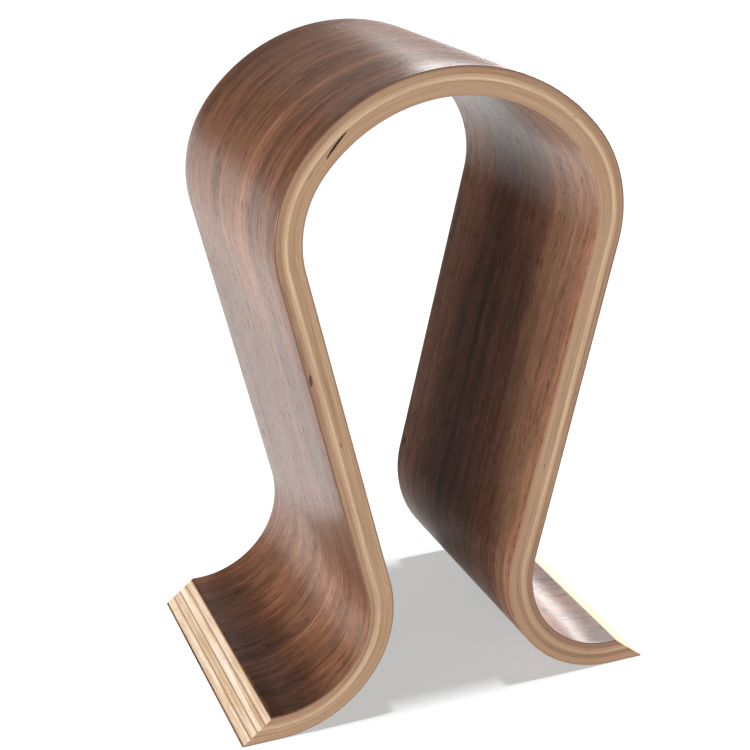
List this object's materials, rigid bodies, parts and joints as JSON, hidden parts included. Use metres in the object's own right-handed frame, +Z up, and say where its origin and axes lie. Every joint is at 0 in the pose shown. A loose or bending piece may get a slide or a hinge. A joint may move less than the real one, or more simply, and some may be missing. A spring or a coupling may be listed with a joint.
{
  "type": "headphone stand",
  "caption": "Free-standing headphone rest bent from a laminated, walnut-faced wooden strip, with a rounded crown, inward-leaning legs and out-turned toes.",
  "frame": {"origin": "on the surface that the stand rests on, under the middle of the stand", "axes": "+Z up, X across the legs from toe to toe, Y along the strip's width from the front edge (-Y) to the back edge (+Y)"},
  "size_m": [0.1798, 0.121, 0.26],
  "materials": {
    "walnut_veneer": "satin lacquered walnut, grain along the strip",
    "tan_core": "sanded and lacquered ply edge, tan",
    "cream_core": "sanded and lacquered ply edge, cream",
    "glue_line": "cured adhesive, sanded flush"
  },
  "bodies": {
    "root": {"outer_face_veneer": "walnut_veneer", "glue_line_1": "glue_line", "core_ply_1": "tan_core", "glue_line_2": "glue_line", "core_ply_2": "cream_core", "glue_line_3": "glue_line", "core_ply_3": "tan_core", "glue_line_4": "glue_line", "core_ply_4": "cream_core", "glue_line_5": "glue_line", "inner_face_veneer": "walnut_veneer"}
  },
  "joints": []
}
